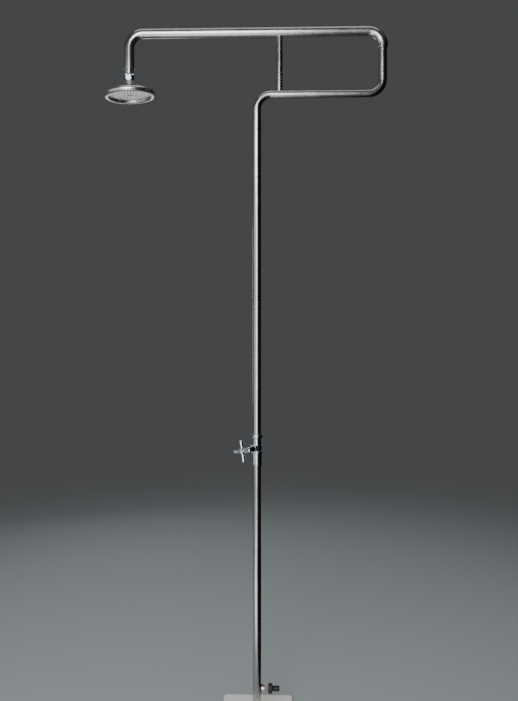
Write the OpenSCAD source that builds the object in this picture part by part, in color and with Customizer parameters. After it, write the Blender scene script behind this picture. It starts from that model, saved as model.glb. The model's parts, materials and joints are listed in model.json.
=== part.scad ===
// Free-standing outdoor shower: a bent tube pole with a square loop and a long arm,
// a cross-handle stop valve, a side hose inlet and a rain head on a swivel ball.
// Millimetres, +Z up, origin on the floor under the pole's axis.

/* [Overall] */
// Height of the top of the arm above the floor
total_h = 2300; // [2270:5:2330]
// Distance from the pole's axis to the shower head's axis
arm_reach = 428; // [300:1:500]
// Distance from the pole's axis to the far upright of the loop
loop_reach = 417; // [300:1:480]
// Height of the axis of the loop's lower tube
loop_z = 2075; // [2050:1:2090]
// Distance from the pole's axis to the brace inside the loop
brace_x = 75.5; // [70:0.5:150]
// Height of the valve's bonnet axis
valve_z = 898; // [700:1:1200]
// Height of the hose inlet's axis
inlet_z = 96; // [80:1:200]

/* [Tubes] */
// Outside diameter of the pole and of the loop's lower half
pole_d = 28; // [28:1:28]
// Outside diameter of the arm
arm_d = 35; // [35:1:35]
// Outside diameter of the brace
brace_d = 20; // [14:1:22]
// Wall of every tube
wall = 1.5; // [1:0.1:2]
// Centreline radius of every bend
bend_r = 48; // [44:1:56]

/* [Base] */
// Side of the square base plate
base_w = 235; // [200:5:300]
// Thickness of the base plate
base_t = 10; // [9:1:14]
// Corner radius of the base plate
base_corner_r = 13; // [8:1:20]
// Thickness of the rubber pad under the plate
pad_t = 2; // [1:0.5:4]

/* [Valve] */
// Compass heading of the bonnet, counter-clockwise from +X
bonnet_heading = 232; // [200:1:260]
// Distance from the pole's axis to the cross handle's arms
handle_out = 74; // [72:1:76]
// Width of the cross handle from tip to tip
handle_w = 75; // [60:1:90]
// Turn of the cross handle about its own axis at rest
handle_turn = 11; // [0:1:45]

/* [Head] */
// Outside diameter of the shower head
head_d = 174; // [160:1:190]
// Radius of the rolled rim's section
rim_r = 10; // [9:0.5:11]
// Number of rings of nozzles
nozzle_rings = 6; // [3:1:6]
// Radial pitch of the rings of nozzles
nozzle_pitch = 10; // [9.5:0.1:10]
// Radius of the swivel ball
ball_r = 9; // [9:0.1:9]
// Lean of the shower head at rest, with its loop side raised
head_lean = 3.2; // [0:0.1:6]

/* [Hidden] */

$fn = 96;
eps = 1;              // how far a cut runs past the face it opens
fit = 0.05;           // radial clearance of every fit
steel = [0.74, 0.72, 0.70];
chrome = [0.80, 0.84, 0.86];
brass = [0.78, 0.66, 0.38];
paint = [0.83, 0.82, 0.81];
black = [0.05, 0.05, 0.06];
rubber = [0.12, 0.12, 0.12];
ptfe = [0.93, 0.93, 0.91];
silicone = [0.55, 0.54, 0.53];

pole_r = pole_d / 2;
pole_ir = pole_r - wall;
arm_r = arm_d / 2;
arm_ir = arm_r - wall;
arm_z = total_h - arm_r;
plate_top = pad_t + base_t;

// Foot
foot_screw_r = 4.95;
foot_head_r = 10;
foot_head_h = 5;
plug_h = 40;
foot_screw_h = 36;

// Inlet, measured outwards from the pole's axis
port_r = 6;
saddle_r = 17;
saddle_h = 26;
boss_r = 11;
boss_out = 23.5;
nipple_r = 8;
nipple_flange_out = 24.5;
nipple_hex_out = 38;
nipple_end = 46;
washer_t = 2;
ring_out = 51;
ring_r = 16;
waist_r = 7.5;
nose_r = 9;
nose_start = 61;
nose_length = 10;
nose_tip = 76;

// Valve, heights from the bonnet axis
socket_low = valve_z - 56;
socket_top = valve_z - 13;
pole_in_socket = 14;
lower_pole_top = socket_low + pole_in_socket;
thread_r = 13.15;
neck_r = 14.5;
neck_top = valve_z + 33;
union_r = 16.45;
union_top = valve_z + 39;
tail_flange_z = union_top + 1.5;
upper_pole_z = tail_flange_z + 1.5;
nut_top = upper_pole_z + 3;
water_r = 8;

// Valve, distances out along the bonnet axis
seat_s = -2;
plug_in_s = -0.9;
boss_s = 20;
guide_r = 6.45;
guide_end_s = 30;
spindle_r = 4;
spindle_nose_s = 13.6;
plug_back_s = 20;
bonnet_end_s = 52;
gland_end_s = 62.5;
hub_s = handle_out - 9.5;
hub_end_s = handle_out + 9;

// Swivel ball and head, heights from the ball's centre
outlet_top = arm_z - bend_r - 71.5;
outlet_low = outlet_top - 16;
ball_z = outlet_low - 14;
seat_ri = ball_r + fit;
seat_ro = ball_r + 2.2;
cavity_r = seat_ro + fit;
collar_low = ball_z - 8;
collar_top = ball_z + 10;
collar_af = 29;
neck_thread_r = 13;
throat_z = ball_z - 11.5;
head_wall = 1.5;
rim_c_r = head_d / 2 - rim_r;
rim_z = ball_z - 55;
rim_top = rim_z + rim_r;
flare_in_r = 20;
flare_power = 2.2;
face_t = 1.5;
face_z = rim_z - 2;
mat_t = 1.5;
gasket_t = 1;
ledge_z = face_z + face_t + mat_t + gasket_t;
face_r = rim_c_r - rim_r - 0.2;
ledge_in_r = face_r - 4;
nozzle_r = 1.35;
tail_r = 9.95;
tail_low = ball_z - 35;

// A revolved solid from a list of [radius, height] points
module turned(profile) {
    rotate_extrude() polygon(profile);
}

// A plain ring between two radii and two heights
module ring(r_out, r_in, low, high) {
    translate([0, 0, low])
        difference() {
            cylinder(r = r_out, h = high - low);
            translate([0, 0, -eps]) cylinder(r = r_in, h = high - low + 2 * eps);
        }
}

// A solid disc or shaft between two heights
module shaft(r, low, high) {
    translate([0, 0, low]) cylinder(r = r, h = high - low);
}

// A hexagonal bar between two heights, af across its flats
module hex_bar(af, low, high) {
    translate([0, 0, low]) cylinder(d = af / cos(30), h = high - low, $fn = 6);
}

// Points of an arc, centre [cx, cy], from angle a0 to a1 in n steps
function arc(cx, cy, r, a0, a1, n) =
    [for (i = [0 : n]) let (a = a0 + (a1 - a0) * i / n) [cx + r * cos(a), cy + r * sin(a)]];

// Puts children drawn along +Z onto the bonnet axis, so that z is the distance from the pole
module on_bonnet() {
    translate([0, 0, valve_z]) rotate([0, 0, bonnet_heading]) rotate([0, 90, 0]) children();
}

// Puts children drawn along +Z onto the inlet axis, so that z is the distance from the pole
module on_inlet() {
    translate([0, 0, inlet_z]) rotate([0, 90, 0]) children();
}

// Puts children drawn about the Z axis onto the plumb axis of the arm's outlet
module on_outlet() {
    translate([-arm_reach, 0, 0]) children();
}

// Puts children drawn about the Z axis onto the shower head's axis, which leans about the ball
module on_head() {
    on_outlet() translate([0, 0, ball_z]) rotate([0, -head_lean, 0]) translate([0, 0, -ball_z]) children();
}

// A quarter bend in the XZ plane about [cx, cz], from angle a to a + 90
module bend(cx, cz, a, r_out) {
    translate([cx, 0, cz]) rotate([90, 0, 0]) rotate([0, 0, a])
        rotate_extrude(angle = 90)
            translate([bend_r, 0]) difference() {
                circle(r = r_out);
                circle(r = r_out - wall);
            }
}

// A level tube along +X between two distances
module level_tube(r_out, x0, x1, z) {
    translate([0, 0, z]) rotate([0, 90, 0]) ring(r_out, r_out - wall, x0, x1);
}

// ---- Base ----

module base_corners(side, corner_r) {
    for (sx = [-1, 1], sy = [-1, 1])
        translate([sx * (side / 2 - corner_r), sy * (side / 2 - corner_r), 0]) children();
}

module base_pad() {
    inset = 4;
    color(rubber)
        hull() base_corners(base_w - 2 * inset, base_corner_r)
            cylinder(r = base_corner_r, h = pad_t, $fn = 32);
}

module base_plate() {
    edge = 1.5;
    color(paint)
        difference() {
            hull() base_corners(base_w, base_corner_r) rotate_extrude($fn = 64)
                polygon(concat(
                    [[0, pad_t], [base_corner_r - edge / 2, pad_t], [base_corner_r, pad_t + edge / 2]],
                    arc(base_corner_r - edge, plate_top - edge, edge, 0, 90, 4),
                    [[0, plate_top]]));
            translate([0, 0, pad_t - eps]) cylinder(r = foot_screw_r + 0.3, h = base_t + 2 * eps);
            translate([0, 0, pad_t])
                cylinder(r1 = foot_head_r + fit, r2 = foot_screw_r + fit, h = foot_head_h);
            shaft(foot_head_r + fit, pad_t - eps, pad_t + fit);
        }
}

module foot_screw() {
    socket_r = 3.5;
    color(steel)
        difference() {
            union() {
                translate([0, 0, pad_t + fit])
                    cylinder(r1 = foot_head_r, r2 = foot_screw_r, h = foot_head_h);
                shaft(foot_screw_r, pad_t + foot_head_h, pad_t + foot_screw_h);
            }
            translate([0, 0, pad_t - eps]) cylinder(r = socket_r, h = foot_head_h, $fn = 6);
        }
}

module foot_plug() {
    color(steel)
        difference() {
            turned([[0, plate_top], [pole_ir - fit, plate_top], [pole_ir - fit, plate_top + plug_h - 2],
                [pole_ir - 2, plate_top + plug_h], [0, plate_top + plug_h]]);
            shaft(foot_screw_r + fit, plate_top - eps, pad_t + foot_screw_h + 2);
        }
}

module lower_pole() {
    color(steel)
        difference() {
            ring(pole_r, pole_ir, plate_top, lower_pole_top);
            on_inlet() cylinder(r = port_r, h = pole_r + eps);
        }
}

// ---- Hose inlet ----

module inlet_saddle() {
    wrap = 120;
    color(steel)
        difference() {
            union() {
                translate([0, 0, inlet_z - saddle_h / 2]) rotate([0, 0, -wrap / 2])
                    rotate_extrude(angle = wrap)
                        translate([pole_r + fit, 0]) square([saddle_r - pole_r - fit, saddle_h]);
                on_inlet() shaft(boss_r, pole_r + 1, boss_out);
            }
            shaft(pole_r + fit, inlet_z - saddle_h, inlet_z + saddle_h);
            on_inlet() shaft(port_r, 0, boss_out + eps);
            on_inlet() shaft(nipple_r + fit, saddle_r, boss_out + eps);
        }
}

module inlet_nipple() {
    color(steel)
        on_inlet() difference() {
            union() {
                shaft(nipple_r, saddle_r + fit, nipple_end);
                turned([[0, boss_out], [boss_r - 1.5, boss_out], [boss_r - 1.5, nipple_flange_out],
                    [0, nipple_flange_out]]);
                intersection() {
                    hex_bar(19, nipple_flange_out, nipple_hex_out);
                    turned([[0, nipple_flange_out], [9.6, nipple_flange_out], [11, nipple_flange_out + 1.2],
                        [11, nipple_hex_out - 1.2], [9.6, nipple_hex_out], [0, nipple_hex_out]]);
                }
            }
            shaft(port_r - 0.5, saddle_r - eps, nipple_end + eps);
        }
}

module inlet_washer() {
    color(rubber) on_inlet() ring(nipple_r, port_r - 0.5, nipple_end, nipple_end + washer_t);
}

module hose_adapter() {
    grips = 20;
    color(black)
        on_inlet() difference() {
            turned(concat(
                [[0, nipple_hex_out], [ring_r - 1, nipple_hex_out], [ring_r, nipple_hex_out + 1],
                    [ring_r, ring_out - 1.5], [ring_r - 1.5, ring_out], [nose_r + 1.5, ring_out],
                    [waist_r, ring_out + 2.5], [waist_r, nose_start - 4.2], [nose_r, nose_start - 4.2],
                    [nose_r, nose_start - 3.2], [waist_r, nose_start - 3.2], [waist_r, nose_start - 0.8],
                    [nose_r, nose_start - 0.8], [nose_r, nose_start + nose_length]],
                arc(nose_r - 4, nose_start + nose_length, 4, 0, 80, 6),
                [[0, nose_tip - 1]]));
            shaft(nipple_r + fit, nipple_hex_out - eps, nipple_end + washer_t);
            shaft(4.5, nipple_end, nose_tip + eps);
            for (i = [0 : grips - 1])
                rotate([0, 0, 360 * i / grips]) translate([ring_r + 0.5, 0, 0])
                    shaft(1.2, nipple_hex_out + 2.5, ring_out + eps);
        }
}

module hose_seal_ring() {
    section_r = 1.1;
    color(rubber)
        on_inlet() translate([0, 0, nose_start - 2])
            rotate_extrude() translate([waist_r + section_r + fit, 0]) circle(r = section_r);
}

// ---- Valve ----

module lower_socket() {
    body_r = 16.5;
    flange_r = 19;
    color(chrome)
        difference() {
            turned([[0, socket_low], [body_r, socket_low], [body_r + 0.8, socket_low + 0.8],
                [body_r + 0.8, socket_low + 4], [body_r, socket_low + 5], [body_r, socket_top - 8],
                [flange_r - 0.6, socket_top - 7], [flange_r, socket_top - 6], [flange_r, socket_top - 1],
                [flange_r - 1, socket_top], [0, socket_top]]);
            shaft(pole_r + fit, socket_low - eps, lower_pole_top);
            shaft(10, socket_low, socket_top);
            shaft(thread_r + fit, lower_pole_top + 8, socket_top + eps);
        }
}

module lower_washer() {
    color(rubber) ring(thread_r, 9.5, lower_pole_top + 8, lower_pole_top + 8 + washer_t);
}

// The web between the two offset ports carries the seat, so water only passes through the seat
module valve_body() {
    rear_c = -8.5;
    rear_r = 6.5;
    rear_port_r = 3.9;
    front_c = 4.6;
    front_port_r = 5.2;
    color(chrome)
        difference() {
            union() {
                shaft(thread_r, lower_pole_top + 8 + washer_t, socket_top + 1);
                shaft(neck_r, socket_top, neck_top + 1);
                turned([[0, neck_top - 3], [neck_r, neck_top - 3], [union_r, neck_top], [union_r, union_top],
                    [0, union_top]]);
                translate([0, 0, valve_z]) sphere(r = 17);
                on_bonnet() turned([[0, 0], [12.9, 0], [12.9, boss_s - 0.8], [12.1, boss_s], [0, boss_s]]);
            }
            shaft(water_r, socket_low, valve_z - 14);
            on_bonnet() translate([0, 0, rear_c]) rotate([0, 90, 0]) shaft(rear_port_r, 0, 18);
            on_bonnet() shaft(rear_r, rear_c - 4.5, seat_s - 2.5);
            on_bonnet() shaft(6, rear_c, boss_s);
            on_bonnet() difference() {
                shaft(10, seat_s, boss_s + eps);
                ring(7.5, 5, seat_s - eps, plug_in_s - 0.1);
            }
            on_bonnet() translate([0, 0, front_c]) rotate([0, -90, 0]) shaft(front_port_r, 0, 16);
            shaft(water_r, valve_z + 13, union_top + eps);
        }
}

module upper_washer() {
    color(rubber) ring(union_r - 0.5, water_r, union_top, tail_flange_z);
}

module upper_tailpiece() {
    color(brass)
        difference() {
            union() {
                shaft(union_r - 0.5, tail_flange_z, upper_pole_z);
                shaft(pole_ir - fit, upper_pole_z - eps, upper_pole_z + 20);
            }
            shaft(water_r + 1.5, tail_flange_z - eps, upper_pole_z + 20 + eps);
        }
}

module upper_union_nut() {
    nut_r = 18.7;
    color(chrome)
        difference() {
            turned([[0, neck_top], [nut_r - 1.2, neck_top], [nut_r, neck_top + 1.2], [nut_r, nut_top - 2],
                [nut_r - 0.7, nut_top - 0.7], [nut_r - 2.2, nut_top], [0, nut_top]]);
            shaft(union_r + fit, neck_top - eps, upper_pole_z);
            shaft(pole_r + 0.3, upper_pole_z - eps, nut_top + eps);
        }
}

module bonnet_gasket() {
    color(ptfe) on_bonnet() ring(12.1, 10.2, boss_s, boss_s + 1);
}

module valve_bonnet() {
    key_w = 3;
    color(chrome)
        on_bonnet() difference() {
            turned(concat(
                [[0, 10], [9.95, 10], [9.95, boss_s + 1], [12.6, boss_s + 1], [13, boss_s + 1.6],
                    [13, boss_s + 4], [12, boss_s + 5.5]],
                [for (t = [0.125 : 0.125 : 1]) [12 - 3.2 * t - 0.8 * sin(180 * t), boss_s + 5.5 + 18.5 * t]],
                [[8.4, 45], [8, 45.5], [8, bonnet_end_s], [0, bonnet_end_s]]));
            shaft(guide_r, 10 - eps, guide_end_s);
            shaft(spindle_r + fit, guide_end_s - eps, bonnet_end_s);
            shaft(6.5, 44, bonnet_end_s + eps);
            translate([-key_w / 2, -guide_r - 1, 10 - eps])
                cube([key_w, 2 * guide_r + 2, guide_end_s - 13 + eps]);
        }
}

module gland_packing() {
    color(ptfe) on_bonnet() ring(6.45, spindle_r + fit, 45.6, 49.5);
}

module gland_nut() {
    color(chrome)
        on_bonnet() difference() {
            union() {
                turned([[0, 45.6], [9.4, 45.6], [9.8, 46.2], [9.6, gland_end_s - 5], [8.6, gland_end_s - 1],
                    [7.8, gland_end_s], [0, gland_end_s]]);
            }
            difference() {
                shaft(8 + fit, 45, bonnet_end_s + 0.4);
                shaft(6.4, 49.5, bonnet_end_s + 1);
            }
            shaft(spindle_r + fit, 45, gland_end_s + eps);
        }
}

module valve_spindle() {
    square_w = 5.6;
    color(brass)
        on_bonnet() difference() {
            union() {
                shaft(spindle_r, spindle_nose_s, hub_s - 0.5);
                shaft(guide_r - 0.35, guide_end_s - 3, guide_end_s - fit);
                translate([-square_w / 2, -square_w / 2, hub_s - eps])
                    cube([square_w, square_w, handle_out + 2 - hub_s + eps]);
            }
            ring(spindle_r + eps, spindle_r - 0.6, 44.1, 45.2);
            shaft(2 + fit, handle_out - 9, handle_out + 3);
        }
}

module spindle_clip() {
    color(steel)
        on_bonnet() difference() {
            ring(5.6, spindle_r - 0.6 + fit, 44.15, 45.15);
            translate([0, -0.8, 44]) cube([8, 1.6, 2]);
        }
}

module handle_arm() {
    root_r = 5.4;
    tip_r = 6.8;
    length = handle_w / 2;
    turned(concat([[0, 0], [root_r, 0], [root_r, 10]], arc(0, length - tip_r, tip_r, 0, 90, 8)));
}

module handle_cross() {
    hub_r = 9.2;
    color(chrome)
        on_bonnet() rotate([0, 0, handle_turn]) difference() {
            union() {
                turned([[0, hub_s], [hub_r - 1.4, hub_s], [hub_r, hub_s + 1.6], [hub_r, hub_end_s - 2],
                    [hub_r - 0.8, hub_end_s - 0.6], [hub_r - 2, hub_end_s], [0, hub_end_s]]);
                for (a = [0 : 90 : 270])
                    translate([0, 0, handle_out]) rotate([0, 0, a]) rotate([0, 90, 0]) handle_arm();
            }
            rotate([0, 0, -handle_turn]) translate([-2.85, -2.85, hub_s - eps])
                cube([5.7, 5.7, handle_out + 2 - hub_s + eps]);
            shaft(2.2, handle_out, hub_end_s);
            shaft(5, handle_out + 5, hub_end_s + eps);
        }
}

module handle_screw() {
    color(steel)
        on_bonnet() difference() {
            union() {
                shaft(2, handle_out - 7, handle_out + 5.5);
                turned([[0, handle_out + 5], [3.6, handle_out + 5], [3.6, handle_out + 6.4],
                    [2.6, handle_out + 7.2], [0, handle_out + 7.4]]);
            }
            translate([-0.5, -4, handle_out + 6.4]) cube([1, 8, 2]);
        }
}

module handle_cap() {
    color(chrome)
        on_bonnet() turned([[0, hub_end_s - 1.2], [5 - fit, hub_end_s - 1.2], [5 - fit, hub_end_s],
            [6.8, hub_end_s], [6.4, hub_end_s + 1], [4.8, hub_end_s + 1.8], [2.4, hub_end_s + 2.3],
            [0, hub_end_s + 2.45]]);
}

// The plug is keyed to the bonnet and threaded on the spindle's nose, so it slides and doesn't turn
module valve_plug() {
    key_w = 2.8;
    color(brass)
        on_bonnet() difference() {
            union() {
                shaft(8.4, 3, 4.6);
                shaft(guide_r - 0.1, 4, plug_back_s);
                translate([-key_w / 2, -guide_r - 0.8, 10.5])
                    cube([key_w, 2 * guide_r + 1.6, 4.5]);
            }
            shaft(spindle_r + fit, 8, plug_back_s + eps);
            shaft(1.55, 2, 9);
        }
}

module plug_washer() {
    color(rubber) on_bonnet() ring(8.2, 1.6, plug_in_s, 3);
}

module plug_screw() {
    color(brass)
        on_bonnet() union() {
            shaft(1.5, plug_in_s - fit, 7);
            turned([[0, plug_in_s - 1.8], [2.4, plug_in_s - 1.8], [3.4, plug_in_s - 0.9], [3.4, plug_in_s],
                [0, plug_in_s]]);
        }
}

// ---- Upper frame ----

module upper_pole() {
    far_c = loop_reach - bend_r;
    color(steel)
        union() {
            ring(pole_r, pole_ir, upper_pole_z, loop_z - bend_r);
            bend(bend_r, loop_z - bend_r, 90, pole_r);
            level_tube(pole_r, bend_r, far_c, loop_z);
            bend(far_c, loop_z + bend_r, 270, pole_r);
            translate([loop_reach, 0, 0])
                ring(pole_r, pole_ir, loop_z + bend_r, arm_z - bend_r + 3);
        }
}

module brace_strut() {
    color(steel)
        difference() {
            translate([brace_x, 0, 0]) ring(brace_d / 2, brace_d / 2 - wall, loop_z, arm_z);
            translate([0, 0, loop_z]) rotate([0, 90, 0]) shaft(pole_r + fit, brace_x - 40, brace_x + 40);
            translate([0, 0, arm_z]) rotate([0, 90, 0]) shaft(arm_r + fit, brace_x - 40, brace_x + 40);
        }
}

module arm_bush() {
    low = arm_z - bend_r - 7;
    top = arm_z - bend_r;
    color(steel)
        translate([loop_reach, 0, 0])
            turned([[pole_r + fit, low], [arm_r - 1.5, low], [arm_r - 0.4, low + 1.5], [arm_r - 0.4, top],
                [arm_ir - 0.6, top], [arm_ir - 0.6, top + 3], [pole_r + fit, top + 3]]);
}

module arm_tube() {
    color(steel)
        union() {
            bend(loop_reach - bend_r, arm_z - bend_r, 0, arm_r);
            level_tube(arm_r, bend_r - arm_reach, loop_reach - bend_r, arm_z);
            bend(bend_r - arm_reach, arm_z - bend_r, 90, arm_r);
            on_outlet() ring(arm_r, arm_ir, outlet_top, arm_z - bend_r);
        }
}

module arm_outlet() {
    color(chrome)
        on_outlet() difference() {
            turned([[0, outlet_low], [14.4, outlet_low], [16.2, outlet_low + 1.6], [16.2, outlet_low + 7],
                [15.2, outlet_low + 7.8], [15.2, outlet_low + 9], [16.2, outlet_low + 9.8],
                [16.2, outlet_top - 0.8], [15.6, outlet_top], [arm_ir - fit, outlet_top],
                [arm_ir - fit, outlet_top + 20], [0, outlet_top + 20]]);
            shaft(7 + fit, outlet_low - eps, outlet_top + 2);
            shaft(11, outlet_top + 2, outlet_top + 20 + eps);
        }
}

module swivel_ball() {
    stem_r = 4.4;
    color(chrome)
        on_outlet() difference() {
            union() {
                translate([0, 0, ball_z]) sphere(r = ball_r);
                shaft(stem_r, ball_z, outlet_low + 1);
                shaft(7, outlet_low, outlet_top + 2);
            }
            shaft(2.75, ball_z - ball_r - eps, outlet_top + 3);
        }
}

// ---- Swivel ----

// A ring of a spherical shell about the ball's centre, between two latitudes
module shell_ring(lat0, lat1) {
    on_head() translate([0, 0, ball_z]) intersection() {
        difference() {
            sphere(r = seat_ro);
            sphere(r = seat_ri);
        }
        turned([[0, 0], 2 * seat_ro * [cos(lat0), sin(lat0)], 2 * seat_ro * [cos(lat1), sin(lat1)]]);
    }
}

module ball_seat_ring() {
    color(ptfe) shell_ring(8, 46);
}

module ball_seal_ring() {
    color(ptfe) shell_ring(-46, -8);
}

// ---- Shower head ----

module ball_collar() {
    top_r = 14.2;
    corner_r = collar_af / 2 / cos(30);
    color(chrome)
        on_head() difference() {
            intersection() {
                hex_bar(collar_af, collar_low, collar_top);
                turned([[0, collar_low], [collar_af / 2 - 0.5, collar_low], [corner_r, collar_low + 1.6],
                    [corner_r, collar_top - 2.4], [top_r - 1.4, collar_top], [0, collar_top]]);
            }
            translate([0, 0, ball_z]) sphere(r = cavity_r);
            shaft(7.4, ball_z, collar_top + eps);
            shaft(neck_thread_r + fit, collar_low - eps, ball_z + 0.1);
        }
}

module head_neck() {
    ports = 4;
    color(chrome)
        on_head() difference() {
            turned([[0, tail_low], [tail_r - 1, tail_low], [tail_r, tail_low + 1], [tail_r, throat_z],
                [flare_in_r - 0.4, throat_z], [flare_in_r - 0.6, throat_z + 1.6], [13.6, collar_low],
                [neck_thread_r, collar_low], [neck_thread_r, ball_z], [0, ball_z]]);
            translate([0, 0, ball_z]) sphere(r = cavity_r);
            shaft(6, ball_z - 17, ball_z);
            shaft(5, ball_z - 30, ball_z);
            shaft(2.5, tail_low - eps, ball_z);
            for (i = [0 : ports - 1])
                translate([0, 0, ball_z - 27]) rotate([0, 0, 360 * i / ports]) rotate([0, 90, 0])
                    cylinder(r = 2.8, h = tail_r + eps);
        }
}

module neck_washer() {
    color(rubber) on_head() ring(13.5, tail_r + fit, throat_z - head_wall - 1, throat_z - head_wall);
}

module neck_locknut() {
    top = throat_z - head_wall - 1;
    color(brass)
        on_head() difference() {
            hex_bar(24, top - 6, top);
            shaft(tail_r + fit, top - 6 - eps, top + eps);
        }
}

module inlet_filter() {
    z = ball_z - 17;
    color(steel)
        on_head() difference() {
            shaft(6 - fit, z, z + 0.6);
            for (k = [0 : 1 : 2], i = [0 : 1 : max(0, 6 * k - 1)])
                rotate([0, 0, 60 / max(k, 1) * i]) translate([2.1 * k, 0, 0])
                    shaft(0.6, z - eps, z + 1 + eps);
        }
}

function flare_h(r) =
    rim_top + (throat_z - rim_top) * pow((rim_c_r - r) / (rim_c_r - flare_in_r), flare_power);
function flare_slope(r) =
    -(throat_z - rim_top) * flare_power / (rim_c_r - flare_in_r)
    * pow((rim_c_r - r) / (rim_c_r - flare_in_r), flare_power - 1);
// Point of the flare at radius r, moved inwards by depth along the surface's normal
function flare_point(r, depth) =
    let (m = flare_slope(r), k = sqrt(1 + m * m)) [r + depth * m / k, flare_h(r) - depth / k];

module head_bell() {
    steps = 18;
    rim_steps = 24;
    span = rim_c_r - flare_in_r;
    lip_r = rim_c_r - rim_r;
    color(steel)
        on_head() turned(concat(
            [[tail_r + fit, throat_z]],
            [for (i = [0 : steps - 1]) flare_point(flare_in_r + span * i / steps, 0)],
            arc(rim_c_r, rim_z, rim_r, 90, -180, rim_steps),
            [[lip_r, ledge_z], [ledge_in_r, ledge_z], [ledge_in_r, ledge_z + head_wall],
                [lip_r + head_wall, ledge_z + head_wall]],
            arc(rim_c_r, rim_z, rim_r - head_wall, -180, 90, rim_steps),
            [for (i = [steps - 1 : -1 : 2]) flare_point(flare_in_r + span * i / steps, head_wall)],
            [[16, throat_z - head_wall], [tail_r + fit, throat_z - head_wall]]));
}

module head_gasket() {
    color(rubber) on_head() ring(face_r, ledge_in_r, ledge_z - gasket_t, ledge_z);
}

// One child at each nozzle, in rings of 6, 12, 18 and so on
module at_nozzles() {
    for (k = [1 : nozzle_rings], i = [0 : 6 * k - 1])
        rotate([0, 0, 60 / k * i + 7 * k]) translate([nozzle_pitch * k, 0, 0]) children();
}

module nozzle_mat() {
    color(silicone)
        on_head() difference() {
            union() {
                shaft(face_r - 0.2, face_z + face_t, face_z + face_t + mat_t);
                at_nozzles() translate([0, 0, face_z - 1.8])
                    cylinder(r1 = nozzle_r - 0.35, r2 = nozzle_r, h = face_t + 1.8 + 0.5);
            }
            shaft(3, face_z, ledge_z);
        }
}

module head_face() {
    color(steel)
        on_head() difference() {
            shaft(face_r, face_z, face_z + face_t);
            at_nozzles() shaft(nozzle_r + 0.15, face_z - eps, face_z + face_t + eps);
            shaft(2.7, face_z - eps, face_z + face_t + eps);
        }
}

module head_screw() {
    color(steel)
        on_head() difference() {
            union() {
                shaft(2.45, face_z - 0.5, tail_low + 5);
                turned([[0, face_z - 2.4], [2.6, face_z - 2.3], [4.4, face_z - 1.4], [4.9, face_z - 0.4],
                    [4.9, face_z], [0, face_z]]);
            }
            translate([-0.6, -6, face_z - 3]) cube([1.2, 12, 1.6]);
        }
}

base_pad();
base_plate();
foot_screw();
foot_plug();
lower_pole();
inlet_saddle();
inlet_nipple();
inlet_washer();
hose_adapter();
hose_seal_ring();
lower_socket();
lower_washer();
valve_body();
upper_washer();
upper_tailpiece();
upper_union_nut();
bonnet_gasket();
valve_bonnet();
gland_packing();
gland_nut();
valve_spindle();
spindle_clip();
handle_cross();
handle_screw();
handle_cap();
valve_plug();
plug_washer();
plug_screw();
upper_pole();
brace_strut();
arm_bush();
arm_tube();
arm_outlet();
swivel_ball();
ball_seat_ring();
ball_seal_ring();
ball_collar();
head_neck();
neck_washer();
neck_locknut();
inlet_filter();
head_bell();
head_gasket();
nozzle_mat();
head_face();
head_screw();
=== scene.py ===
"""Looks for the free-standing shower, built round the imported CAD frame.

Every length is in metres, in the frame of the CAD model: origin on the floor under the pole, +Z up,
the shower head on the -X side, the loop on the +X side, the camera on the -Y side.
"""
import json
import math

import bmesh
import bpy
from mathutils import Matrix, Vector


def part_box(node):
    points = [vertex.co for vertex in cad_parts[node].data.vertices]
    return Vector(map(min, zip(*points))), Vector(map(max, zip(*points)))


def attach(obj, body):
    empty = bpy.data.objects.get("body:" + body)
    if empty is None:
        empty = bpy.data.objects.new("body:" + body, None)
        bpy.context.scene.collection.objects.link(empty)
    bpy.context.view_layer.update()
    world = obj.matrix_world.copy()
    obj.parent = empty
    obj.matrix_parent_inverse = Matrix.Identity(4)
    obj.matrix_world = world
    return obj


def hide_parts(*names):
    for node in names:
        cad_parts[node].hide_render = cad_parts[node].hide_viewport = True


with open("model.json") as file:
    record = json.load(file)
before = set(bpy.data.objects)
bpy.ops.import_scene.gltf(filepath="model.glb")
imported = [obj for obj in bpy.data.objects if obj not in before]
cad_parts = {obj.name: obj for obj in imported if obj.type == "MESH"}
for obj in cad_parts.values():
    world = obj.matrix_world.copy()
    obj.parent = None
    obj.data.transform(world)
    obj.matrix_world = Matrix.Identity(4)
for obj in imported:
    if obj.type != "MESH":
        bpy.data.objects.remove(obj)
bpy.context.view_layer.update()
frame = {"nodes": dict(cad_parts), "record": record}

MM = 0.001

# Driving sizes that the boxes of the nodes don't give
WALL = 1.5 * MM  # of the tubes and of the bell
BEND_R = 48 * MM  # to the middle of a bent tube
LOOP_Z = 2075 * MM
BALL_Z = 2133 * MM
HEAD_LEAN = math.radians(3.2)
FLOOR_GAP = 0.5 * MM  # keeps the stage's flat pieces off the plane z = 0

# Sizes read from the frame
pole_lo, pole_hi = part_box("lower_pole")
upper_lo, upper_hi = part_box("upper_pole")
arm_lo, arm_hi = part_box("arm_tube")
brace_lo, brace_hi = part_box("brace_strut")
POLE_R = pole_hi.y
ARM_R = arm_hi.y
ARM_Z = arm_hi.z - ARM_R
HEAD_X = arm_lo.x + ARM_R
FAR_X = arm_hi.x - ARM_R
BRACE_R = brace_hi.y
BRACE_X = (brace_lo.x + brace_hi.x) / 2
plate_lo, plate_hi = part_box("base_plate")
BALL = Vector((HEAD_X, 0.0, BALL_Z))
HEAD_AXIS = Vector((-math.sin(HEAD_LEAN), 0.0, math.cos(HEAD_LEAN)))


# ---- Small node-tree helpers ----

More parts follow.
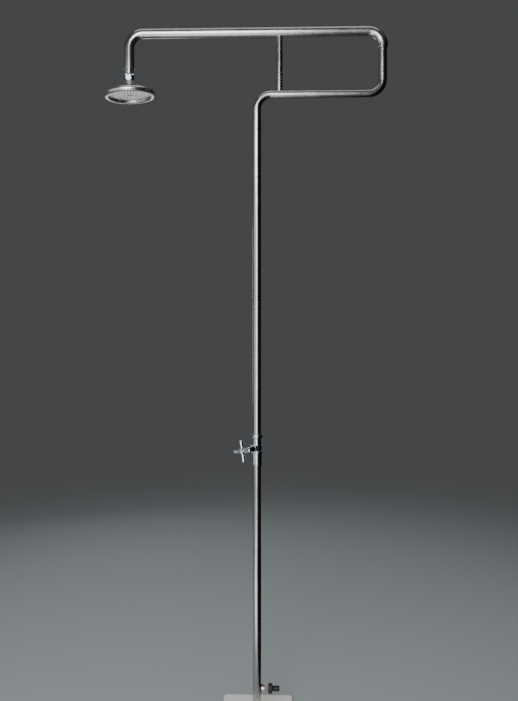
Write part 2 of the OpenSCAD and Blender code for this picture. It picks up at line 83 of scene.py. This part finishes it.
class Tree:
    """A material's node tree, with a Principled shader and one call for each kind of node."""

    def __init__(self, name):
        self.mat = bpy.data.materials.new(name)
        self.mat.use_nodes = True
        self.nt = self.mat.node_tree
        self.shader = self.nt.nodes["Principled BSDF"]

    def add(self, kind, inputs=None, **settings):
        n = self.nt.nodes.new(kind)
        for key, value in settings.items():
            setattr(n, key, value)
        for key, value in (inputs or {}).items():
            self.put(n.inputs[key], value)
        return n

    def put(self, socket, value):
        if isinstance(value, bpy.types.NodeSocket):
            self.nt.links.new(value, socket)
        else:
            socket.default_value = value

    def set(self, **values):
        for key, value in values.items():
            self.put(self.shader.inputs[key.replace("_", " ")], value)

    def math(self, op, a, b=0.0):
        n = self.add("ShaderNodeMath", operation=op)
        self.put(n.inputs[0], a)
        self.put(n.inputs[1], b)
        return n.outputs[0]

    def vector(self, op, a, b=(0, 0, 0)):
        n = self.add("ShaderNodeVectorMath", operation=op)
        self.put(n.inputs[0], a)
        self.put(n.inputs[1], b)
        return n

    def scaled(self, vector, scale):
        return self.vector("MULTIPLY", vector, scale).outputs[0]

    def object_coords(self):
        return self.add("ShaderNodeTexCoord").outputs["Object"]

    def tube_coords(self):
        """Across the tube, across the tube, along the tube: written on every swept or turned mesh."""
        return self.add("ShaderNodeAttribute", attribute_name="tube").outputs["Vector"]

    def noise(self, vector, scale, detail=2.0, rough=0.5, distortion=0.0):
        n = self.add("ShaderNodeTexNoise", {"Scale": scale, "Detail": detail, "Roughness": rough,
                                            "Distortion": distortion})
        self.put(n.inputs["Vector"], vector)
        return n.outputs["Fac"]

    def cells(self, vector, scale):
        """Distance to the nearest of many scattered points."""
        n = self.add("ShaderNodeTexVoronoi", {"Scale": scale})
        self.put(n.inputs["Vector"], vector)
        return n.outputs["Distance"]

    def remap(self, value, from_low, from_high, to_low, to_high):
        n = self.add("ShaderNodeMapRange", {"From Min": from_low, "From Max": from_high,
                                            "To Min": to_low, "To Max": to_high})
        self.put(n.inputs["Value"], value)
        return n.outputs["Result"]

    def band(self, value, start, peak, end):
        """1 where the value is at its peak, and 0 outside start and end."""
        return self.math("MULTIPLY", self.remap(value, start, peak, 0.0, 1.0),
                         self.remap(value, peak, end, 1.0, 0.0))

    def mix_colour(self, fac, a, b):
        """From colour a to colour b; inputs 6 and 7 and output 2 are the Mix node's colour sockets."""
        n = self.add("ShaderNodeMix", data_type="RGBA")
        self.put(n.inputs[0], fac)
        self.put(n.inputs[6], a if isinstance(a, bpy.types.NodeSocket) else (*a, 1))
        self.put(n.inputs[7], b if isinstance(b, bpy.types.NodeSocket) else (*b, 1))
        return n.outputs[2]

    def bump(self, height, distance, strength, normal=None):
        n = self.add("ShaderNodeBump", {"Strength": strength, "Distance": distance, "Height": height})
        if normal is not None:
            self.put(n.inputs["Normal"], normal)
        return n.outputs["Normal"]

    def about_axis(self, centre, axis):
        """Distance from an axis through centre, and distance along it, in metres."""
        away = self.vector("SUBTRACT", self.object_coords(), centre).outputs[0]
        along = self.vector("DOT_PRODUCT", away, axis).outputs["Value"]
        across = self.vector("CROSS_PRODUCT", away, axis).outputs[0]
        return self.vector("LENGTH", across).outputs["Value"], along

    def eased(self, radius):
        """The surface normal with every sharp edge eased to a small radius."""
        return self.add("ShaderNodeBevel", {"Radius": radius}, samples=4).outputs["Normal"]


# ---- Materials ----

def ground_tube(name, coords="tube"):
    """Stainless tube, ground round and round and polished, with rain marks and dulled blotches."""
    t = Tree(name)
    at = t.tube_coords() if coords == "tube" else t.object_coords()
    scratches = t.noise(t.scaled(at, (90, 90, 2600)), 1.0, 3.0, 0.65)
    blotches = t.noise(at, 14.0, 3.0, 0.55)
    runs = t.noise(t.scaled(t.object_coords(), (130, 130, 9)), 1.0, 3.0, 0.6, 0.4)
    spots = t.cells(t.object_coords(), 85.0)
    dry_ring = t.band(spots, 0.10, 0.16, 0.24)
    rough = t.remap(blotches, 0.3, 0.72, 0.21, 0.27)
    rough = t.math("ADD", rough, t.remap(scratches, 0.3, 0.75, -0.01, 0.02))
    rough = t.math("ADD", rough, t.remap(runs, 0.55, 0.75, 0.0, 0.025))
    rough = t.math("ADD", rough, t.math("MULTIPLY", dry_ring, 0.03))
    tint = t.mix_colour(t.remap(blotches, 0.35, 0.7, 0.0, 1.0), (0.53, 0.50, 0.48), (0.61, 0.585, 0.565))
    tint = t.mix_colour(t.remap(runs, 0.58, 0.8, 0.0, 0.15), tint, (0.44, 0.415, 0.39))
    t.set(Base_Color=tint, Roughness=rough, Metallic=1.0, Normal=t.bump(scratches, 0.001 * MM, 0.4))
    return t.mat


def chrome(name):
    """Bright chrome plate: nearly a mirror, with dried drops, wipe marks and a slight plating ripple."""
    t = Tree(name)
    at = t.object_coords()
    ripple = t.noise(at, 150.0, 2.0, 0.5)
    wipe = t.noise(t.scaled(at, (260, 260, 60)), 1.0, 4.0, 0.7, 0.6)
    drops = t.cells(at, 210.0)
    patchy = t.math("MULTIPLY", t.band(drops, 0.18, 0.26, 0.38),
                    t.remap(t.noise(at, 40.0, 2.0), 0.5, 0.62, 0.0, 1.0))
    rough = t.math("ADD", t.remap(wipe, 0.35, 0.75, 0.14, 0.23), t.math("MULTIPLY", patchy, 0.14))
    # The plate's blue is partly chrome's own cool tint and partly a painted reflection of a teal floor;
    # the worn tint is the same blue, a little darker.
    own_and_painted_teal_tint = (0.72, 0.83, 0.88)
    worn_own_and_painted_teal_tint = tuple(0.88 * c for c in own_and_painted_teal_tint)
    worn = t.remap(t.noise(at, 95.0, 3.0), 0.45, 0.75, 0.0, 0.5)
    t.set(Base_Color=t.mix_colour(worn, own_and_painted_teal_tint, worn_own_and_painted_teal_tint), Roughness=rough, Metallic=1.0,
          Normal=t.bump(ripple, 0.01 * MM, 0.3, t.eased(0.9 * MM)))
    return t.mat


def spun_steel(name, low_rough, high_rough, groove=1.0):
    """Stainless spun on a lathe: fine circular marks about the head's axis under a polish."""
    t = Tree(name)
    at = t.object_coords()
    r, along = t.about_axis(BALL, HEAD_AXIS)
    marks_per_metre = 2200.0
    lathe = t.add("ShaderNodeCombineXYZ", {"X": t.math("MULTIPLY", r, marks_per_metre),
                                           "Y": t.math("MULTIPLY", along, marks_per_metre)})
    rings = t.noise(lathe.outputs[0], 1.0, 3.0, 0.7)
    smears = t.noise(at, 38.0, 4.0, 0.6, 0.5)
    drops = t.cells(at, 130.0)
    dried = t.band(drops, 0.16, 0.24, 0.34)
    rough = t.remap(smears, 0.3, 0.75, low_rough, high_rough)
    rough = t.math("ADD", rough, t.remap(rings, 0.3, 0.8, -0.02, 0.04))
    rough = t.math("ADD", rough, t.math("MULTIPLY", dried, 0.05))
    tint = t.mix_colour(t.remap(smears, 0.3, 0.75, 0.0, 1.0), (0.80, 0.79, 0.78), (0.70, 0.69, 0.675))
    t.set(Base_Color=tint, Roughness=rough, Metallic=1.0,
          Normal=t.bump(rings, 0.008 * MM * groove, 0.5, t.eased(0.4 * MM)))
    return t.mat


def powder_coat(name, half_w):
    """Off-white powder coat: orange peel, a little dirt, and chips along the plate's edges."""
    t = Tree(name)
    at = t.object_coords()
    peel = t.noise(at, 620.0, 2.0, 0.5)
    swell = t.noise(at, 150.0, 2.0, 0.5)
    dirt = t.noise(at, 26.0, 5.0, 0.62, 0.3)
    specks = t.cells(at, 330.0)
    split = t.add("ShaderNodeSeparateXYZ", {"Vector": at})
    reach = t.math("MAXIMUM", t.math("ABSOLUTE", split.outputs[0]), t.math("ABSOLUTE", split.outputs[1]))
    at_edge = t.remap(reach, half_w - 3.5 * MM, half_w - 0.2 * MM, 0.0, 1.0)
    chipped = t.math("MULTIPLY", at_edge, t.remap(t.noise(at, 190.0, 4.0, 0.7), 0.60, 0.64, 0.0, 1.0))
    film = t.math("ADD", t.remap(dirt, 0.48, 0.78, 0.0, 0.35), t.remap(specks, 0.10, 0.04, 0.0, 0.12))
    coat = t.mix_colour(film, (0.86, 0.85, 0.835), (0.64, 0.625, 0.60))
    colour = t.mix_colour(chipped, coat, (0.24, 0.23, 0.22))
    height = t.math("ADD", t.math("MULTIPLY", peel, 0.6), t.math("MULTIPLY", swell, 0.8))
    height = t.math("SUBTRACT", height, t.math("MULTIPLY", chipped, 1.5))
    t.set(Base_Color=colour, Roughness=t.remap(dirt, 0.3, 0.8, 0.38, 0.58),
          Normal=t.bump(height, 0.12 * MM, 0.55))
    return t.mat


def moulded(name, colour, rough, grain=900.0, depth=0.03 * MM):
    """Moulded plastic or rubber: a spark-eroded grain, scuffs, and uneven shine."""
    t = Tree(name)
    at = t.object_coords()
    texture = t.noise(at, grain, 3.0, 0.65)
    rubbed = t.noise(at, 75.0, 4.0, 0.6, 0.4)
    scuffs = t.noise(t.scaled(at, (700, 90, 700)), 1.0, 2.0, 0.6)
    pale = tuple(c * 1.5 + 0.012 for c in colour)
    fac = t.math("ADD", t.remap(rubbed, 0.5, 0.8, 0.0, 0.5), t.remap(scuffs, 0.66, 0.76, 0.0, 0.3))
    level = t.math("ADD", t.remap(rubbed, 0.3, 0.75, rough - 0.08, rough + 0.08),
                   t.remap(texture, 0.3, 0.7, -0.03, 0.03))
    t.set(Base_Color=t.mix_colour(fac, colour, pale), Roughness=level, Normal=t.bump(texture, depth, 0.5))
    return t.mat


def turned_brass(name):
    """Machined brass with turning marks and the brown of age."""
    t = Tree(name)
    at = t.object_coords()
    marks = t.noise(t.scaled(at, (1500, 1500, 1500)), 1.0, 2.0, 0.6)
    aged = t.noise(at, 120.0, 4.0, 0.6)
    colour = t.mix_colour(t.remap(aged, 0.4, 0.75, 0.0, 0.8), (0.68, 0.50, 0.22), (0.40, 0.28, 0.13))
    t.set(Base_Color=colour, Roughness=t.remap(aged, 0.3, 0.8, 0.22, 0.45), Metallic=1.0,
          Normal=t.bump(marks, 0.02 * MM, 0.4))
    return t.mat


def weld_steel(name):
    """Weld metal: dull silver with a straw and blue heat tint where the bead cooled last."""
    t = Tree(name)
    at = t.object_coords()
    heat = t.noise(at, 240.0, 3.0, 0.6)
    colour = t.mix_colour(t.remap(heat, 0.45, 0.7, 0.0, 0.7), (0.52, 0.50, 0.47), (0.42, 0.34, 0.24))
    colour = t.mix_colour(t.remap(heat, 0.66, 0.78, 0.0, 0.5), colour, (0.22, 0.25, 0.33))
    t.set(Base_Color=colour, Roughness=t.remap(heat, 0.3, 0.8, 0.28, 0.42), Metallic=1.0,
          Normal=t.bump(t.noise(at, 1400.0, 2.0), 0.04 * MM, 0.5))
    return t.mat


LOOKS = {
    "tube": ground_tube("ground_stainless_tube"),
    "stainless": ground_tube("ground_stainless", coords="object"),
    "chrome": chrome("chrome_plate"),
    "bell": spun_steel("spun_polished_steel", 0.24, 0.33),
    "face": spun_steel("spun_satin_steel", 0.26, 0.38, groove=2.0),
    "paint": powder_coat("powder_coat", plate_hi.x),
    "black_plastic": moulded("moulded_black_plastic", (0.010, 0.010, 0.011), 0.40),
    "rubber": moulded("black_rubber", (0.018, 0.018, 0.018), 0.72, grain=500.0, depth=0.06 * MM),
    "silicone": moulded("grey_silicone", (0.20, 0.195, 0.19), 0.55, grain=1200.0),
    "ptfe": moulded("white_ptfe", (0.80, 0.80, 0.77), 0.40, grain=700.0),
    "brass": turned_brass("turned_brass"),
    "weld": weld_steel("weld_bead_steel"),
}

SLOT_LOOK = {"polished_steel": "face", "base_paint": "paint"}


def dress_cad_nodes():
    """Every CAD node gets the look of its record slot; SLOT_LOOK has the slots named otherwise."""
    for row in frame["record"]["subparts"]:
        slot = row["material_slot"]
        materials = frame["nodes"][row["node"]].data.materials
        materials.clear()
        materials.append(LOOKS[SLOT_LOOK.get(slot, slot)])


dress_cad_nodes()


# ---- Finely meshed pieces that stand for CAD nodes, and the welds ----

def piece(name, rings, coords, look, body, stands_for=(), closed=True, crease=35):
    """A piece from rings of points, each joined to the next, with the tube coordinates written on it.

    A closed piece joins its last ring to its first; an open one has a flat face on each end ring.
    """
    n = len(rings[0])
    verts = [p for ring in rings for p in ring]
    joined = len(rings) if closed else len(rings) - 1
    faces = []
    for i in range(joined):
        a, b = i * n, (i + 1) % len(rings) * n
        faces += [(a + k, a + (k + 1) % n, b + (k + 1) % n, b + k) for k in range(n)]
    if not closed:
        faces += [tuple(range(n - 1, -1, -1)), tuple(joined * n + k for k in range(n))]
    mesh = bpy.data.meshes.new(name)
    mesh.from_pydata(verts, [], faces)
    at = mesh.attributes.new("tube", "FLOAT_VECTOR", "POINT")
    at.data.foreach_set("vector", [c for ring in coords for p in ring for c in p])
    bm = bmesh.new()
    bm.from_mesh(mesh)
    bmesh.ops.recalc_face_normals(bm, faces=bm.faces)
    bm.to_mesh(mesh)
    bm.free()
    mesh.shade_smooth()
    mesh.set_sharp_from_angle(angle=math.radians(crease))
    mesh.materials.append(look)
    obj = bpy.data.objects.new(name, mesh)
    bpy.context.scene.collection.objects.link(obj)
    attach(obj, body)
    if stands_for:
        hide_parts(*stands_for)


def circle(sides):
    """The angles of a regular ring's points."""
    return [2 * math.pi * k / sides for k in range(sides)]


def spaced(start, end, step):
    """Points from start, which is left out, to end, about one step apart."""
    n = max(1, round((end - start).length / step))
    return [start.lerp(end, i / n) for i in range(1, n + 1)]


def route(corners, radius, step=40 * MM, bend_steps=24):
    """Points along a line in the XZ plane through the corners, with a quarter bend at each inner one."""
    line = [Vector(c) for c in corners]
    points = [line[0]]
    for before, at, after in zip(line, line[1:], line[2:]):
        come, go = (at - before).normalized(), (after - at).normalized()
        points += spaced(points[-1], at - come * radius, step)
        centre = at - come * radius + go * radius
        for i in range(1, bend_steps + 1):
            a = math.pi / 2 * i / bend_steps
            points.append(centre - go * radius * math.cos(a) + come * radius * math.sin(a))
    return points + spaced(points[-1], line[-1], step)


def swept_tube(name, corners, outer_r, stands_for, sides=72):
    """A stainless tube with its wall, swept along a bent line in the XZ plane."""
    points = route(corners, BEND_R)
    stations, along = [], 0.0
    for i, p in enumerate(points):
        ahead = points[min(i + 1, len(points) - 1)] - points[max(i - 1, 0)]
        ahead.normalize()
        along += (p - points[i - 1]).length if i else 0.0
        stations.append((p, Vector((-ahead.y, ahead.x)), along))
    rings, coords = [], []
    for r, order in ((outer_r, stations), (outer_r - WALL, stations[::-1])):
        for p, side, along in order:
            rings.append([(p.x + r * math.cos(a) * side.x, r * math.sin(a),
                           p.y + r * math.cos(a) * side.y) for a in circle(sides)])
            coords.append([(r * math.cos(a), r * math.sin(a), along) for a in circle(sides)])
    piece(name, rings, coords, LOOKS["tube"], "stand", stands_for)


def turned(name, profile, origin, axis, look, body, stands_for, sides=192):
    """A turned piece from a closed profile of (radius, height) about an axis."""
    up = axis.normalized()
    u = Vector((0, 1, 0)).cross(up).normalized()
    v = up.cross(u)
    rings, coords, run = [], [], 0.0
    for i, (r, h) in enumerate(profile):
        run += math.dist(profile[i - 1], (r, h)) if i else 0.0
        rings.append([origin + up * h + (u * math.cos(a) + v * math.sin(a)) * r for a in circle(sides)])
        coords.append([(r * math.cos(a), r * math.sin(a), run) for a in circle(sides)])
    piece(name, rings, coords, look, body, stands_for)


def arc(centre_x, centre_y, r, first, last, n):
    """Points on an arc from the first angle to the last, in degrees."""
    turn = [math.radians(first + (last - first) * i / n) for i in range(n + 1)]
    return [(centre_x + r * math.cos(a), centre_y + r * math.sin(a)) for a in turn]


def weld_bead(name, curve, n=240, sides=12):
    """A rippled bead along a closed curve, given as a function of the turn from 0 to 1."""
    radius, pitch = 1.7 * MM, 2.0 * MM
    points = [curve(i / n) for i in range(n)]
    length = sum((points[i] - points[i - 1]).length for i in range(n))
    ripples = round(length / pitch)
    centre = sum(points, Vector()) / n
    rings, coords = [], []
    for i, p in enumerate(points):
        ahead = (points[(i + 1) % n] - points[i - 1]).normalized()
        out = p - centre
        out = (out - ahead * out.dot(ahead)).normalized()
        other = ahead.cross(out)
        phase = (i / n * ripples) % 1.0
        r = radius * (0.88 + 0.16 * math.sqrt(1.0 - phase))
        rings.append([p + (out * math.cos(a) + other * math.sin(a)) * r for a in circle(sides)])
        coords.append([(r * math.cos(a), r * math.sin(a), length * i / n) for a in circle(sides)])
    piece(name, rings, coords, LOOKS["weld"], "stand", crease=80)


def tubes():
    """The arm and both poles, along the same lines as in the CAD model."""
    arm_end_z = ARM_Z - BEND_R - 0.1 * MM
    swept_tube("arm_tube_skin", [(HEAD_X, arm_lo.z), (HEAD_X, ARM_Z), (FAR_X, ARM_Z), (FAR_X, arm_end_z)],
               ARM_R, ["arm_tube"])
    swept_tube("upper_pole_skin", [(0, upper_lo.z), (0, LOOP_Z), (FAR_X, LOOP_Z), (FAR_X, upper_hi.z)],
               POLE_R, ["upper_pole"])
    swept_tube("lower_pole_skin", [(0, pole_lo.z), (0, pole_hi.z)], POLE_R, ["lower_pole"])


def on_tube(centre_z, tube_r, sign):
    """The line where the brace's skin meets a level tube, below it or above it."""
    def curve(turn):
        a = 2 * math.pi * turn
        y = BRACE_R * math.sin(a)
        z = centre_z + sign * math.sqrt(tube_r ** 2 - y ** 2)
        return Vector((BRACE_X + BRACE_R * math.cos(a), y, z))
    return curve


def brace(sides=72, steps=8):
    """The brace, whose ends follow both tubes, and its two weld beads."""
    low, high = on_tube(LOOP_Z, POLE_R, 1), on_tube(ARM_Z, ARM_R, -1)
    rings, coords = [], []
    for radius, order in ((BRACE_R, range(steps + 1)), (BRACE_R - WALL, range(steps, -1, -1))):
        for i in order:
            ring, marks = [], []
            for k, a in enumerate(circle(sides)):
                z = low(k / sides).z * (1 - i / steps) + high(k / sides).z * i / steps
                ring.append((BRACE_X + radius * math.cos(a), radius * math.sin(a), z))
                marks.append((radius * math.cos(a), radius * math.sin(a), z))
            rings.append(ring)
            coords.append(marks)
    piece("brace_skin", rings, coords, LOOKS["tube"], "stand", ["brace_strut"])
    weld_bead("brace_low_weld", low)
    weld_bead("brace_top_weld", high)


def bell():
    """The head's bell: a thin flared shell with a rolled rim and a ledge for the face plate.

    Heights are along the head's axis, from the middle of the swivel ball.
    """
    bore_r, seat_r, flare_in_r, bell_r = 10.1 * MM, 16 * MM, 20 * MM, 87 * MM
    throat_h, flare_power = -11.5 * MM, 2.2
    rim_r, rim_h = 10 * MM, -55 * MM
    rim_centre_r = bell_r - rim_r
    flare_out_h, flare_w = rim_h + rim_r, rim_centre_r - flare_in_r
    ledge_out_r, ledge_h = rim_centre_r - rim_r, rim_h + 2 * MM
    ledge_in_r = ledge_out_r - 4.2 * MM
    flare_steps, inner_start = 48, 5  # the inside starts a little further out than the outside

    def flare(step, depth):
        """A point of the flare, at a depth below its outer skin."""
        r = flare_in_r + flare_w * step / flare_steps
        to_go = (rim_centre_r - r) / flare_w
        drop = throat_h - flare_out_h
        slope = -drop * flare_power / flare_w * to_go ** (flare_power - 1)
        k = math.hypot(1, slope)
        return r + depth * slope / k, flare_out_h + drop * to_go ** flare_power - depth / k

    profile = [(bore_r, throat_h), (flare_in_r - 1 * MM, throat_h),
               (flare_in_r - 0.25 * MM, throat_h - 0.1 * MM)]
    profile += [flare(i, 0) for i in range(flare_steps)]
    profile += arc(rim_centre_r, rim_h, rim_r, 90, -180, 60)
    profile += [(ledge_out_r, ledge_h), (ledge_in_r, ledge_h), (ledge_in_r, ledge_h + WALL),
                (ledge_out_r + WALL, ledge_h + WALL)]
    profile += arc(rim_centre_r, rim_h, rim_r - WALL, -190, -270, 20)
    profile += [flare(i, WALL) for i in reversed(range(inner_start, flare_steps))]
    profile += [(seat_r, throat_h - WALL), (bore_r, throat_h - WALL)]
    turned("head_bell_skin", profile, BALL, HEAD_AXIS,
           LOOKS["bell"], "shower_head", ["head_bell"])


def plate():
    """The base plate: rounded corners and a rounded edge all round."""
    corner_r, edge_r = 13 * MM, 1.8 * MM
    edge_steps, corner_steps = 6, 12
    middle = plate_hi.x - corner_r
    edge = [math.pi / 2 * i / edge_steps for i in range(edge_steps + 1)]
    rims = [(edge_r * (1 - math.sin(a)), plate_lo.z + edge_r * (1 - math.cos(a))) for a in edge]
    rims += [(edge_r * (1 - math.cos(a)), plate_hi.z - edge_r * (1 - math.sin(a))) for a in edge]
    rims.append((corner_r - 0.5 * MM, plate_hi.z))
    rings = []
    for inset, z in rims:
        ring = []
        for quarter, (sx, sy) in enumerate(((1, 1), (-1, 1), (-1, -1), (1, -1))):
            for i in range(corner_steps + 1):
                a = math.pi / 2 * (quarter + i / corner_steps)
                ring.append((sx * middle + (corner_r - inset) * math.cos(a),
                             sy * middle + (corner_r - inset) * math.sin(a), z))
        rings.append(ring)
    piece("base_plate_skin", rings, rings,
          LOOKS["paint"], "stand", ["base_plate"], closed=False)


tubes()
brace()
bell()
plate()


# ---- Stage, light and camera ----

def softbox(name, location, target, size, power, colour=(1, 1, 1)):
    """An oblong area light that points at a target and stays out of the picture."""
    light = bpy.data.lights.new(name, "AREA")
    light.shape = "RECTANGLE"
    light.size, light.size_y = size
    light.energy = power
    light.color = colour
    obj = bpy.data.objects.new(name, light)
    bpy.context.scene.collection.objects.link(obj)
    obj.location = location
    obj.rotation_euler = (Vector(target) - Vector(location)).to_track_quat("-Z", "Y").to_euler()
    obj.visible_camera = False
    return obj


def black_flag(name, location, rotation, size):
    """A studio flag: the metal sees it as black, and nothing else does."""
    bpy.ops.mesh.primitive_plane_add(size=1, location=location, rotation=rotation)
    flag = bpy.context.object
    flag.name = name
    flag.scale = (*size, 1)
    t = Tree(name + "_look")
    t.set(Base_Color=(0.004, 0.004, 0.004, 1), Roughness=1.0, Specular_IOR_Level=0.0)
    flag.data.materials.append(t.mat)
    flag.visible_camera = flag.visible_diffuse = flag.visible_shadow = flag.visible_transmission = False


def floor():
    """A pale round floor that melts into the studio's grey at its edge."""
    bpy.ops.mesh.primitive_circle_add(vertices=96, radius=5.0, fill_type="NGON",
                                      location=(0, 0, -FLOOR_GAP))
    disc = bpy.context.object
    disc.name = "floor"
    t = Tree("floor_look")
    t.set(Base_Color=(0.37, 0.41, 0.42, 1), Roughness=0.75, Specular_IOR_Level=0.15)
    away = t.vector("LENGTH", t.scaled(t.object_coords(), (1, 1, 0))).outputs["Value"]
    fade = t.add("ShaderNodeMapRange", {"Value": away, "From Min": 1.2, "From Max": 4.2},
                 interpolation_type="SMOOTHERSTEP").outputs["Result"]
    clear = t.add("ShaderNodeBsdfTransparent").outputs[0]
    mixed = t.add("ShaderNodeMixShader", {0: fade, 1: t.shader.outputs[0], 2: clear}).outputs[0]
    t.put(t.nt.nodes["Material Output"].inputs["Surface"], mixed)
    disc.data.materials.append(t.mat)


def studio():
    """The floor, the grey world, the lights and the flags."""
    floor()
    world = bpy.data.worlds.new("studio_world")
    world.use_nodes = True
    world.node_tree.nodes["Background"].inputs["Color"].default_value = (0.066, 0.068, 0.070, 1)
    bpy.context.scene.world = world
    softbox("key", (-0.45, -2.9, 1.6), (-0.1, 0, 1.5), (1.3, 2.9), 50, (1.0, 0.985, 0.97))
    softbox("left", (-2.3, -1.7, 1.5), (0, 0, 1.4), (3.8, 2.8), 20, (0.97, 0.98, 1.0))
    softbox("top", (0, -0.4, 3.9), (0, 0, 0), (2.6, 1.3), 7)
    softbox("near_top", (-0.45, -1.15, 2.15), (0, 0, 0.9), (0.9, 0.5), 6.5)
    softbox("back_low", (-1.25, 2.6, 1.3), (-0.4, 0, 1.9), (1.4, 1.3), 6)
    softbox("front_low", (-0.5, -1.3, 0.01), (-0.5, -1.3, 1.0), (1.1, 1.5), 9)
    wash = softbox("floor_wash", (0.2, -0.5, 3.4), (0.1, 0.2, 0), (3.0, 3.0), 42)
    wash.visible_glossy = False
    black_flag("side_flag", (1.35, -0.4, 1.5), (math.radians(90), 0, math.radians(-90)), (4.4, 3.0))
    black_flag("floor_flag", (0.98, -0.3, FLOOR_GAP), (0, 0, 0), (1.6, 3.6))


def camera():
    """The photograph's view: level, from a little to the right, with the frame shifted down."""
    distance, height = 2.45, 1.39
    azimuth = math.radians(2.0)
    aim_right = math.radians(0.16)
    cam = bpy.data.cameras.new("camera")
    cam.sensor_fit = "AUTO"
    cam.sensor_width = 36.0
    cam.lens = 37.746
    cam.shift_y = -0.07204
    obj = bpy.data.objects.new("camera", cam)
    bpy.context.scene.collection.objects.link(obj)
    obj.location = (distance * math.sin(azimuth), -distance * math.cos(azimuth), height)
    obj.rotation_euler = (math.radians(90), 0, azimuth - aim_right)
    bpy.context.scene.camera = obj


studio()
camera()
